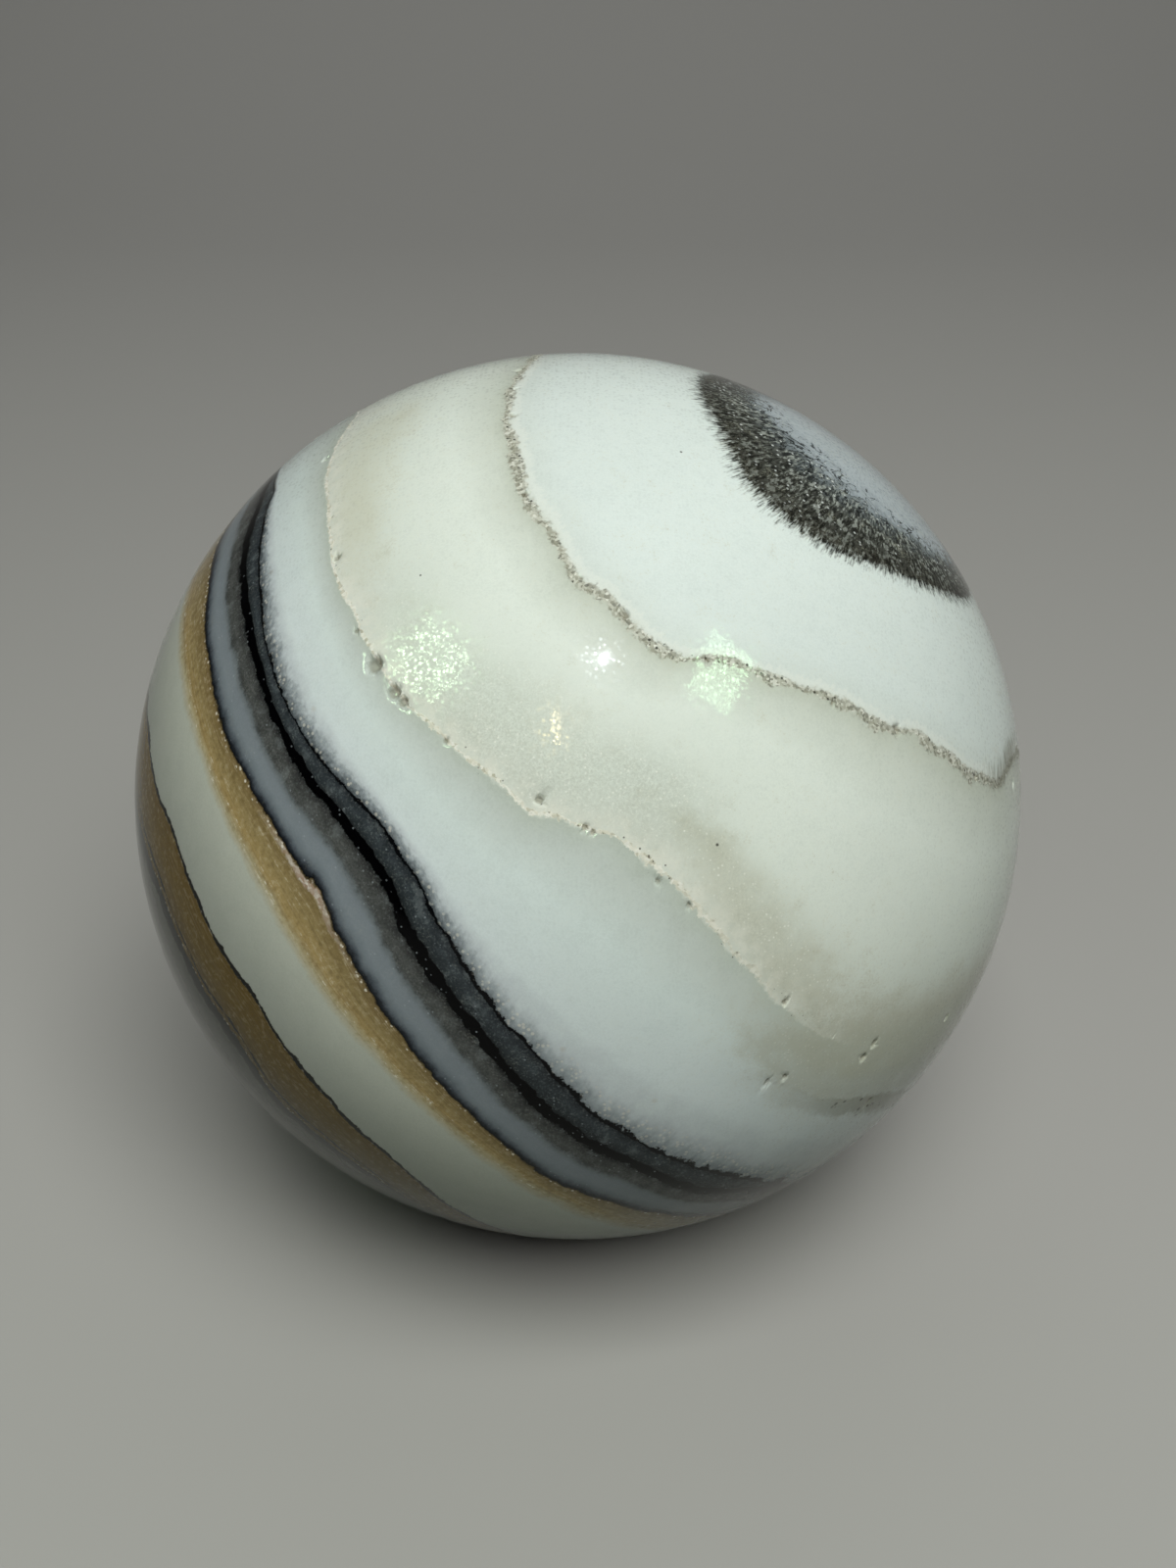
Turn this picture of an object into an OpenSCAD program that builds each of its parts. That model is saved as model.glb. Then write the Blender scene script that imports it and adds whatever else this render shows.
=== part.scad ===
// A polished ball of banded calcite, ground from one block of stone.
//
// The growth layers run right through the ball and lean over towards +X: the
// pale ones above at one angle, and the dark ones below, steeper, at another.
// Between the pale layers lie two thin crystalline seams, which the grinding
// has opened as rows of small pits. A last group of pits lies low in front.
// The origin is the centre of the ball, with +Z up. Sizes are in millimetres.
// A depth is measured along a layer's own axis, down from where that axis
// leaves the ball, and a bearing is an angle round that axis.

/* [Ball] */
// Diameter of the polished ball
ball_d = 76; // [64:1:100]

/* [Growth layers] */
// Lean of the pale layers from level, in degrees
pale_lean = 36; // [20:1:45]
// Lean of the dark layers from level, in degrees
dark_lean = 50; // [40:1:60]
// Depth at which the dark layers begin
dark_depth = 37; // [35:0.5:42]

/* [Bands] */
// Depth of the eye's clear centre
eye_depth = 1.4; // [1:0.1:2]
// Thickness of the eye's sooty ring
eye_ring_t = 1.3; // [0.8:0.1:2]
// Thickness of the black band
black_t = 2.5; // [1:0.1:4]
// Thickness of its olive edge
olive_t = 1; // [0.5:0.1:2]
// Thickness of the blue-grey band
blue_t = 2.2; // [1:0.1:4]
// Thickness of a dark line
line_t = 0.6; // [0.2:0.1:1]
// Thickness of the tan band
tan_t = 3.8; // [2:0.1:5]
// Thickness of the grey-white stone between the tan and brown bands
grey_t = 9.4; // [6:0.1:12]
// Thickness of the brown band
brown_t = 2.3; // [1:0.1:4]

/* [Seams] */
// Depth of the seam that rings the eye
upper_seam_depth = 10.9; // [8:0.1:13]
// How far that seam wanders from level in long waves
upper_seam_sway = 1.5; // [0:0.1:3]
// How far it wanders in short waves
upper_seam_ripple = 1; // [0:0.1:2]
// Number of pits along it
upper_seam_pits = 26; // [8:1:40]
// Depth of the seam across the middle of the pale stone
lower_seam_depth = 25.3; // [20:0.1:27]
// How far that seam wanders from level in long waves
lower_seam_sway = 0.9; // [0:0.1:2]
// How far it wanders in short waves
lower_seam_ripple = 1.7; // [0:0.1:3]
// Number of small pits along it
lower_seam_pits = 30; // [8:1:40]
// Width of a seam's crystals, seen edge on
seam_w = 0.6; // [0.3:0.1:1]

/* [Pits] */
// Width of a small pit at the surface
speck_w = 0.5; // [0.3:0.05:0.8]
// Width of the widest pit at the surface
hole_w = 1.3; // [1:0.1:2]
// Depth of a pit as a share of its width
pit_sink = 0.4; // [0.25:0.05:0.5]
// Depth of the group of pits low in front
group_depth = 32.5; // [31:0.1:34]

/* [Hidden] */

ball_r = ball_d / 2;
$fn = 128;
pit_facets = 24;

// Pale layers, from the eye down: thickness, colour
PALE = [
    [eye_depth, "#c3cad3"],                                        // clear centre of the eye
    [eye_ring_t, "#3a3c3f"],                                       // sooty ring of the eye
    [upper_seam_depth - eye_depth - eye_ring_t, "#dfe2e4"],        // milky stone round the eye
    [seam_w, "#8d8574"],                                           // upper seam
    [lower_seam_depth - upper_seam_depth - 2 * seam_w, "#d2d2c4"], // green-white stone
    [seam_w, "#efe9d8"],                                           // lower seam
    [ball_d, "#d9dcdf"]                                            // blue-white stone
];

// Dark layers, in the same form, from the depth where the first begins
DARK = [
    [black_t, "#15171c"],  // black band
    [olive_t, "#3b3d36"],  // its olive edge
    [blue_t, "#8f97a1"],   // blue-grey band
    [line_t, "#1d2026"],   // navy line
    [tan_t, "#a58f73"],    // tan band
    [grey_t, "#b9b9b6"],   // grey-white stone
    [line_t, "#1b1b1c"],   // black line
    [brown_t, "#6f5b45"],  // brown band
    [line_t, "#1b1b1c"],   // black line
    [ball_d, "#a6a6a4"]    // grey-white end
];

// Each seam: depth, then its long and its short waves as sway, waves round the ball, start angle
UPPER_SEAM = [upper_seam_depth, [upper_seam_sway, 2, 5], [upper_seam_ripple, 4, -126]];
LOWER_SEAM = [lower_seam_depth, [lower_seam_sway, 2, -164], [lower_seam_ripple, 5, 36]];

// Open pits of the lower seam: bearing, width as a share of the widest
HOLES = [[-136, 1], [-131.8, 0.8], [-130.2, 0.6], [-106, 0.4], [-96, 0.45]];

// The group low in front: bearing, then rise and width as shares of the widest pit
GROUP = [[-70, 0, 0.4], [-68.2, 0.5, 0.45], [-66, -0.5, 0.4], [-58, 2.7, 0.5], [-50, -0.5, 0.35]];

// How far waves of one kind carry a seam down at a bearing
function wave(waves, bearing) = waves[0] * sin(waves[1] * bearing + waves[2]);

// Depth of a swaying seam at a bearing
function seam_depth(seam, bearing) = seam[0] + wave(seam[1], bearing) + wave(seam[2], bearing);

// Depth reached by the first n of a list of layers
function reach(rows, n) = n == 0 ? 0 : rows[n - 1][0] + reach(rows, n - 1);

// All the stone above a plane at a depth, leaning by its turn from the axis
module above(depth, turn) {
    rotate([0, turn, 0])
        translate([-ball_d, -ball_d, ball_r - depth])
            cube([2 * ball_d, 2 * ball_d, 2 * ball_d]);
}

// The ball cut into coloured layers by planes of one turn, from a first depth on
module layers(rows, first, turn) {
    for (i = [0:len(rows) - 1])
        color(rows[i][1])
            difference() {
                intersection() {
                    sphere(d = ball_d);
                    above(first + reach(rows, i + 1), turn);
                }
                above(first + reach(rows, i), turn);
            }
}

// A round-nosed hollow of width w at the surface, at a depth and a bearing
module pit(depth, bearing, w) {
    sink = pit_sink * w;
    nose_r = (w * w / 4 + sink * sink) / (2 * sink);
    fall = acos(1 - depth / ball_r);
    rotate([0, fall, bearing])
        translate([0, 0, ball_r - sink + nose_r])
            sphere(r = nose_r, $fn = pit_facets);
}

// Small pits all along a seam, uneven in their spacing and width
module pit_row(seam, count) {
    for (i = [0:count - 1]) {
        bearing = 360 / count * (i + 0.5 + 0.3 * sin(97 * i));
        pit(seam_depth(seam, bearing), bearing, speck_w * (1 + 0.35 * sin(131 * i)));
    }
}

// Every pit that the grinding has opened
module pits() {
    pit_row(UPPER_SEAM, upper_seam_pits);
    pit_row(LOWER_SEAM, lower_seam_pits);
    for (h = HOLES) pit(seam_depth(LOWER_SEAM, h[0]), h[0], hole_w * h[1]);
    for (g = GROUP) pit(group_depth - hole_w * g[1], g[0], hole_w * g[2]);
}

// The stone with its pits filled, upright in the frame of its pale layers
module stone() {
    intersection() {
        layers(PALE, 0, 0);
        above(dark_depth, dark_lean - pale_lean);
    }
    layers(DARK, dark_depth, dark_lean - pale_lean);
}

module ball() {
    rotate([0, pale_lean, 0])
        difference() {
            stone();
            pits();
        }
}

ball();
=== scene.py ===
"""A polished ball of banded calcite, dressed over its solid.

The ball is one surface. Its grid follows the growth lines of the stone, so that
every point knows how far along the growth it lies, and the stone's finish is
laid on by that distance. Sizes inside the classes are in millimetres and angles
in degrees, and a mesh is written in metres, in the frame of the solid.
"""

import functools
import logging
import math
from dataclasses import dataclass
from enum import Enum

import bpy
import numpy as np
from mathutils import Matrix


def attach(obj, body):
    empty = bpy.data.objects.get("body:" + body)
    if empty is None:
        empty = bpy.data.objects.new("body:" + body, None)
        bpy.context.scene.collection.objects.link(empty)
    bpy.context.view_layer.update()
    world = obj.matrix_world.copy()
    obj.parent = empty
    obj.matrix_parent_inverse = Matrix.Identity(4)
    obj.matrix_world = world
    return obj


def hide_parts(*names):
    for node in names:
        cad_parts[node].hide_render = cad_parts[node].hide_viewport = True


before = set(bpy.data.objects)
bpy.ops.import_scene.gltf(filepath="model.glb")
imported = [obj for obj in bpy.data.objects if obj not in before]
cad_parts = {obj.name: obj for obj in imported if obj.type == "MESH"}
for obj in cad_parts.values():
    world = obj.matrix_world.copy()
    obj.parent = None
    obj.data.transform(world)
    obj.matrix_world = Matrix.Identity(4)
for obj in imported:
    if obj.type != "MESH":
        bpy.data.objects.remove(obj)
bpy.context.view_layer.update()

LOG = logging.getLogger("calcite_ball")
METRE = 0.001
BALL_RADIUS = 38.0
Socket = bpy.types.NodeSocket
Signal = float | Socket
Pixels = tuple[tuple[float, float], ...]
Span = tuple[float, float]
Stops = tuple[tuple[float, str], ...]
Cells = tuple[Socket, Socket]


def unit(vectors: np.ndarray) -> np.ndarray:
    """Vectors scaled to length one, along their last axis."""
    return vectors / np.linalg.norm(vectors, axis=-1, keepdims=True)


def colour(code: str) -> tuple[float, float, float, float]:
    """A screen colour as linear light.

    Args:
        code: Six hexadecimal digits, red first.

    Returns:
        Red, green, blue and an alpha of one.
    """
    parts = [int(code[i:i + 2], 16) / 255 for i in (0, 2, 4)]
    light = [p / 12.92 if p <= 0.04045 else ((p + 0.055) / 1.055) ** 2.4 for p in parts]
    return (light[0], light[1], light[2], 1.0)


def ease(value: np.ndarray, low: float, high: float) -> np.ndarray:
    """A smooth step from 0 at low to 1 at high: 3 s squared minus 2 s cubed."""
    s = np.clip((value - low) / (high - low), 0, 1)
    return s * s * (3 - 2 * s)


def apart(a: np.ndarray, b: float | np.ndarray) -> np.ndarray:
    """The turn from b to a in degrees, the short way round."""
    return (a - b + 180) % 360 - 180


# ---------------------------------------------------------------- the camera


@dataclass(frozen=True)
class View:
    """The camera, and what each pixel of its frame looks at on the ball."""

    elevation: float = 30.0
    distance: float = 152.0
    focal: float = 1752.5
    frame_w: float = 1200.0
    frame_h: float = 1600.0
    ball_x: float = 589.7
    ball_y: float = 812.5
    sensor: float = 36.0
    near_clip: float = 10.0

    def directions(self) -> tuple[np.ndarray, np.ndarray, np.ndarray]:
        """Right, up and towards the camera, as unit vectors."""
        rise = math.radians(self.elevation)
        up = np.array([0, math.sin(rise), math.cos(rise)])
        towards = np.array([0, -math.cos(rise), math.sin(rise)])
        return np.array([1.0, 0, 0]), up, towards

    def sight(self, pixels: Pixels) -> np.ndarray:
        """The points of the ball that pixels look at.

        A ray runs from the camera through each pixel. Its reach to the ball is
        b minus the root of b squared minus c, where b is how far along the ray
        the centre lies, and c is the distance squared less the radius squared.

        Args:
            pixels: Places in the frame, from its top left corner.

        Returns:
            One point a row. A pixel beside the ball gives its outline.
        """
        right, up, towards = self.directions()
        place = np.array(pixels, float)
        across = (place[:, :1] - self.ball_x) / self.focal
        down = (place[:, 1:] - self.ball_y) / self.focal
        ray = unit(across * right - down * up - towards)
        eye = self.distance * towards
        b = -ray @ eye
        c = self.distance ** 2 - BALL_RADIUS ** 2
        reach = b - np.sqrt(np.maximum(b * b - c, 0))
        return eye + reach[:, None] * ray

    def build(self) -> bpy.types.Object:
        """Stands the camera in the scene.

        Returns:
            The camera's object.
        """
        data = bpy.data.cameras.new("camera")
        data.sensor_fit = "VERTICAL"
        data.sensor_height = self.sensor
        data.lens = self.focal / self.frame_h * self.sensor
        data.shift_x = (self.frame_w / 2 - self.ball_x) / self.frame_h
        data.shift_y = (self.ball_y - self.frame_h / 2) / self.frame_h
        data.clip_start = self.near_clip * METRE
        camera = bpy.data.objects.new("camera", data)
        camera.location = tuple(self.distance * METRE * self.directions()[2])
        camera.rotation_euler = (math.radians(90 - self.elevation), 0, 0)
        bpy.context.scene.collection.objects.link(camera)
        bpy.context.scene.camera = camera
        return camera


# ------------------------------------------------------------- growth lines


@dataclass(frozen=True)
class GrowthAxis:
    """The axis that the layers grew along, through the middle of the eye.

    A fall is the angle down from the axis, and a bearing the angle round it.
    """

    lean: float = 37.0
    turn: float = 3.0

    def rows(self) -> np.ndarray:
        """Bearing zero, bearing ninety and the axis itself, as three rows."""
        lean, turn = math.radians(self.lean), math.radians(self.turn)
        flat = np.array([math.cos(turn), math.sin(turn), 0])
        axis = math.sin(lean) * flat + np.array([0, 0, math.cos(lean)])
        ninety = unit(np.cross(axis, [1.0, 0, 0]))
        return np.stack([np.cross(ninety, axis), ninety, axis])

    def read(self, points: np.ndarray) -> tuple[np.ndarray, np.ndarray]:
        """Bearings and falls of points, in degrees."""
        x, y, z = (unit(points) @ self.rows().T).T
        return np.degrees(np.arctan2(y, x)), np.degrees(np.arccos(np.clip(z, -1, 1)))

    def place(self, bearing: np.ndarray, fall: np.ndarray) -> np.ndarray:
        """Unit vectors at bearings and falls: the usual polar form about the axis."""
        b, f = np.radians(bearing), np.radians(fall)
        spread = np.stack([np.sin(f) * np.cos(b), np.sin(f) * np.sin(b), np.cos(f)], -1)
        return spread @ self.rows()


@dataclass(frozen=True)
class Seam:
    """A pitted seam: its depth down the pale layers' axis, and two kinds of waves."""

    depth: float
    long_waves: tuple[float, float, float]
    short_waves: tuple[float, float, float]
    lean: float = 36.0

    def depth_at(self, bearing: np.ndarray) -> np.ndarray:
        """Depth at bearings: each kind of wave adds sway times the sine of waves x bearing + start."""
        waves = (self.long_waves, self.short_waves)
        return self.depth + sum(
            sway * np.sin(np.radians(count * bearing + start)) for sway, count, start in waves)

    def points(self, bearing: np.ndarray, depth: np.ndarray) -> np.ndarray:
        """Unit vectors at bearings round the pale layers' axis and depths down it.

        The fall from that axis is the angle whose cosine is 1 - depth / radius.
        """
        turn, fall = np.radians(bearing), np.arccos(1 - depth / BALL_RADIUS)
        lean = math.radians(self.lean)
        out = np.array([math.cos(lean), 0, -math.sin(lean)])
        axis = np.array([math.sin(lean), 0, math.cos(lean)])
        level = np.cos(turn)[:, None] * out + np.sin(turn)[:, None] * np.array([0, 1.0, 0])
        return np.sin(fall)[:, None] * level + np.cos(fall)[:, None] * axis


UPPER = Seam(10.9, (1.5, 2, 5), (1.0, 4, -126))
LOWER = Seam(25.3, (0.9, 2, -164), (1.7, 5, 36))


class Level(float, Enum):
    """How far along the growth each line lies, measured over the ball's front from the eye."""

    EYE_CLEAR = 7.4
    EYE_EDGE = 17.8
    UPPER_SEAM = 33.2
    LOWER_SEAM = 47.9
    SHORT_SEAM = 53.6
    SLATE_EDGE = 57.2
    JET_LINE = 60.2
    NAVY_LINE = 66.1
    TAN_EDGE = 68.9
    THIN_LINE = 78.0
    CAP_LINE = 86.2
    FAR_POLE = 119.4


@dataclass(frozen=True)
class GrowthLine:
    """One line where a layer meets the surface.

    Where it can be seen it goes through its waypoints, and round the far side it
    follows its seam's waves, or lies in a plane that leans from level.
    """

    level: Level
    waypoints: Pixels
    lean: float
    height: float
    far_bearings: tuple[float, ...] = (10.0, 50.0, 90.0, 130.0)
    seam: "Seam | None" = None

    def plane_fall(self, bearing: np.ndarray, axis: GrowthAxis) -> np.ndarray:
        """The fall at which the line's plane meets the ball.

        With p the plane's normal along the axis and q along the bearing, the
        fall is the angle of (p, q) plus the arc whose cosine is the plane's
        height over the radius, divided by the length of (p, q).
        """
        lean, turn = math.radians(self.lean), np.radians(bearing)
        normal = axis.rows() @ np.array([math.sin(lean), 0, math.cos(lean)])
        q = normal[0] * np.cos(turn) + normal[1] * np.sin(turn)
        size = np.hypot(normal[2], q)
        return np.degrees(np.arctan2(q, normal[2]) + np.arccos(self.height / BALL_RADIUS / size))

    def fall(self, bearing: np.ndarray, view: View, axis: GrowthAxis) -> np.ndarray:
        """The line's fall at each bearing, as one smooth closed curve.

        Between two knots it is the cubic with the knots' own falls and slopes,
        and a knot's slope is that of its two neighbours' steps, each weighted
        by the length of the other.

        Args:
            bearing: Bearings in degrees.
            view: The view that the waypoints are seen in.
            axis: The growth axis.

        Returns:
            Falls in degrees.
        """
        seen_b, seen_f = axis.read(view.sight(self.waypoints))
        far = np.array(self.far_bearings)
        if self.seam is None:
            far_b, far_f = far, self.plane_fall(far, axis)
        else:
            far_b, far_f = axis.read(self.seam.points(far, self.seam.depth_at(far)))
        b = np.concatenate([seen_b, far_b])
        f = np.concatenate([seen_f, far_f])
        order = np.argsort(b)
        b, f = b[order], f[order]
        b = np.concatenate([b[-3:] - 360, b, b[:3] + 360])
        f = np.concatenate([f[-3:], f, f[:3]])
        step, rise = np.diff(b), np.diff(f)
        slope = np.zeros_like(b)
        steep = rise / step
        slope[1:-1] = (step[1:] * steep[:-1] + step[:-1] * steep[1:]) / (step[1:] + step[:-1])
        k = np.clip(np.searchsorted(b, bearing) - 1, 1, len(b) - 3)
        s = (bearing - b[k]) / step[k]
        return (f[k] * (1 + 2 * s) * (1 - s) ** 2 + f[k + 1] * s * s * (3 - 2 * s)
                + step[k] * (slope[k] * s * (1 - s) ** 2 - slope[k + 1] * s * s * (1 - s)))


LINES = (
    GrowthLine(Level.EYE_CLEAR, ((790, 420), (845, 470), (905, 520), (960, 560)), 38, 36.6),
    GrowthLine(Level.EYE_EDGE, (
        (712, 392), (735, 440), (770, 500), (830, 550), (900, 580), (985, 592)), 36, 35.3),
    GrowthLine(Level.UPPER_SEAM, (
        (542, 370), (522, 398), (518, 436), (528, 471), (535, 508), (559, 535), (573, 563),
        (592, 592), (617, 611), (633, 627), (656, 652), (697, 672), (729, 672), (767, 684),
        (805, 696), (837, 707), (872, 723), (908, 743), (930, 748), (959, 764), (978, 780),
        (1006, 796), (1019, 799), (1032, 774)),
        31, 29.1, tuple(range(-10, 170, 20)), UPPER),
    GrowthLine(Level.LOWER_SEAM, (
        (362, 426), (340, 461), (332, 490), (333, 519), (337, 557), (347, 605), (362, 627),
        (369, 649), (385, 675), (405, 708), (432, 735), (468, 767), (509, 799), (541, 828),
        (573, 836), (600, 846), (623, 853), (649, 871), (681, 896), (716, 934), (759, 984),
        (800, 1028), (845, 1059)), 37, 14.1, tuple(range(-30, 170, 20)), LOWER),
    GrowthLine(Level.SHORT_SEAM, (
        (296, 560), (355, 735), (440, 862), (550, 975), (680, 1065), (795, 1108), (832, 1124),
        (886, 1123), (934, 1109)),
        40, 5.0, (-10.0, 30.0, 70.0, 110.0, 150.0)),
    GrowthLine(Level.SLATE_EDGE, (
        (292, 480), (273, 519), (265, 582), (266, 608), (273, 662), (292, 717), (309, 748),
        (347, 796), (388, 841), (421, 890), (450, 945), (473, 984), (500, 1025), (546, 1072),
        (587, 1118), (607, 1136), (656, 1166), (703, 1188), (758, 1202), (815, 1204)), 49.5, 0.7),
    GrowthLine(Level.JET_LINE, (
        (265, 514), (249, 579), (252, 621), (263, 668), (283, 732), (311, 786), (356, 844),
        (394, 898), (420, 955), (455, 1010), (496, 1064), (534, 1112), (576, 1147),
        (620, 1175), (656, 1191), (713, 1214), (783, 1210)), 49.5, -1.1),
    GrowthLine(Level.NAVY_LINE, (
        (257, 499), (228, 544), (214, 589), (209, 646), (216, 700), (228, 748), (248, 790),
        (267, 825), (289, 863), (327, 914), (343, 952), (375, 1010), (407, 1057),
        (445, 1102), (496, 1153), (550, 1198), (620, 1226)), 49.5, -5.2),
    GrowthLine(Level.TAN_EDGE, (
        (216, 780), (248, 853), (279, 911), (311, 968), (343, 1016), (407, 1092),
        (471, 1153)), 50, -9.2, (-50.0, -10.0, 30.0, 70.0, 110.0, 150.0)),
    GrowthLine(Level.THIN_LINE, (
        (150, 723), (153, 761), (158, 799), (174, 844), (203, 923), (225, 968), (263, 1022),
        (286, 1061), (324, 1108), (359, 1147), (407, 1188), (439, 1217)), 52, -18.9,
        (-50.0, -10.0, 30.0, 70.0, 110.0, 150.0)),
    GrowthLine(Level.CAP_LINE, (
        (141, 837), (155, 888), (171, 933), (209, 1016), (241, 1064), (286, 1128),
        (324, 1160), (375, 1198)), 52, -24.5, (-50.0, -10.0, 30.0, 70.0, 110.0, 150.0)),
)


# --------------------------------------------------------------------- pits


@dataclass(frozen=True)
class Pits:
    """The open pits, in the same places and of the same form as the solid's.

    Bearings and depths are about the axis of the pale layers, and a pit is a
    round-nosed hollow whose depth is a share of its width.
    """

    speck_w: float = 0.5
    hole_w: float = 1.3
    sink_share: float = 0.4
    upper: Seam = UPPER
    lower: Seam = LOWER
    upper_count: int = 26
    lower_count: int = 30
    holes: tuple[tuple[float, float], ...] = (
        (-136, 1), (-131.8, 0.8), (-130.2, 0.6), (-106, 0.4), (-96, 0.45))
    group_depth: float = 32.5
    group: tuple[tuple[float, float, float], ...] = (
        (-70, 0, 0.4), (-68.2, 0.5, 0.45), (-66, -0.5, 0.4), (-58, 2.7, 0.5), (-50, -0.5, 0.35))

    def row(self, seam: Seam, count: int) -> np.ndarray:
        """Small pits all along a seam, uneven in spacing and width, as bearing, depth, width."""
        i = np.arange(count)
        bearing = 360 / count * (i + 0.5 + 0.3 * np.sin(np.radians(97 * i)))
        width = self.speck_w * (1 + 0.35 * np.sin(np.radians(131 * i)))
        return np.stack([bearing, seam.depth_at(bearing), width], 1)

    def table(self) -> tuple[np.ndarray, np.ndarray]:
        """All the pits.

        Returns:
            The direction of each from the ball's centre, and its width.
        """
        holes = np.array(self.holes)
        holes = np.stack([holes[:, 0], self.lower.depth_at(holes[:, 0]), self.hole_w * holes[:, 1]], 1)
        group = np.array(self.group)
        rise, share = group[:, 1], group[:, 2]
        group = np.stack([group[:, 0], self.group_depth - self.hole_w * rise, self.hole_w * share], 1)
        pits = np.concatenate([self.row(self.upper, self.upper_count),
                               self.row(self.lower, self.lower_count), holes, group])
        return self.lower.points(pits[:, 0], pits[:, 1]), pits[:, 2]

    def carve(self, direction: np.ndarray) -> tuple[np.ndarray, np.ndarray]:
        """Sinks the pits into the ball's radius.

        A pit's nose is a sphere centred outside the ball, at radius - sink +
        nose. A point's radius becomes the near root of its meeting with it.

        Args:
            direction: Unit vectors of the surface's points.

        Returns:
            The radius of each point, and its depth in its pit from 0 to 1.
        """
        radius = np.full(len(direction), BALL_RADIUS)
        share = np.zeros(len(direction))
        for centre, width in zip(*self.table()):
            sink = self.sink_share * width
            nose = (width * width / 4 + sink * sink) / (2 * sink)
            reach = BALL_RADIUS - sink + nose
            along = direction @ centre
            near = np.flatnonzero(along > math.cos(width / BALL_RADIUS))
            b = along[near] * reach
            root = b * b - reach * reach + nose * nose
            cut = np.where(root > 0, b - np.sqrt(np.maximum(root, 0)), BALL_RADIUS)
            radius[near] = np.minimum(radius[near], cut)
            share[near] = np.maximum(share[near], np.clip((BALL_RADIUS - cut) / sink, 0, 1))
        return radius, share


# -------------------------------------------------------------------- hazes


class Haze(Enum):
    """The soft clouds in the stone, and the stretches of its lines that look different."""

    BEIGE = "beige"
    FROST = "frost"
    SAND = "sand"
    OLIVE = "olive"
    BRUSH = "brush"
    CHIP = "chip"
    SPECKLE = "speckle"
    FADE = "fade"


@dataclass(frozen=True)
class HazePatch:
    """One soft patch: a round hill over bearings and distances along the growth."""

    haze: Haze
    bearing: float
    growth: float
    half_turn: float
    half_growth: float
    strength: float = 1.0
    slant: float = 0.0

    def amount(self, bearing: np.ndarray, growth: np.ndarray) -> np.ndarray:
        """The cloud's strength at bearings and distances along the growth.

        It is strength times exp(-(u squared + v squared)), with u and v the
        bearing and the growth from the cloud's middle over its half widths.
        The slant moves the middle along the growth for each degree of bearing.
        """
        aside = apart(bearing, self.bearing)
        u = aside / self.half_turn
        v = (growth - self.growth - self.slant * aside) / self.half_growth
        return self.strength * np.exp(-u * u - v * v)


HAZES = (
    HazePatch(Haze.BEIGE, -166, 44.6, 16, 3.4, 0.9),
    HazePatch(Haze.BEIGE, -150, 45.6, 10, 2.0, 0.7),
    HazePatch(Haze.BEIGE, -172, 41.5, 7, 1.6, 0.5),
    HazePatch(Haze.FROST, -130, 45.0, 14, 3.0, 1.0),
    HazePatch(Haze.FROST, -114, 43.6, 13, 4.6, 1.0),
    HazePatch(Haze.FROST, -99, 44.5, 9, 3.0, 0.9),
    HazePatch(Haze.SAND, -92, 44.4, 8, 1.4, 0.7, 0.05),
    HazePatch(Haze.SAND, -78, 46.0, 15, 1.9, 1.2),
    HazePatch(Haze.OLIVE, -60, 46.8, 12, 2.2, 0.4),
    HazePatch(Haze.OLIVE, -56, 51.0, 17, 2.8, 1.0),
    HazePatch(Haze.OLIVE, -68, 51.6, 8, 2.2, 0.6),
    HazePatch(Haze.OLIVE, -42, 48.8, 20, 3.7, 1.5),
    HazePatch(Haze.BRUSH, -34, 32.6, 17, 2.4),
    HazePatch(Haze.CHIP, -123.5, 66.4, 6, 30),
    HazePatch(Haze.SPECKLE, -46, 53.6, 16, 30),
    HazePatch(Haze.FADE, -30, 47.9, 30, 60, 2.5),
)


# --------------------------------------------------------------- the surface


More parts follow.
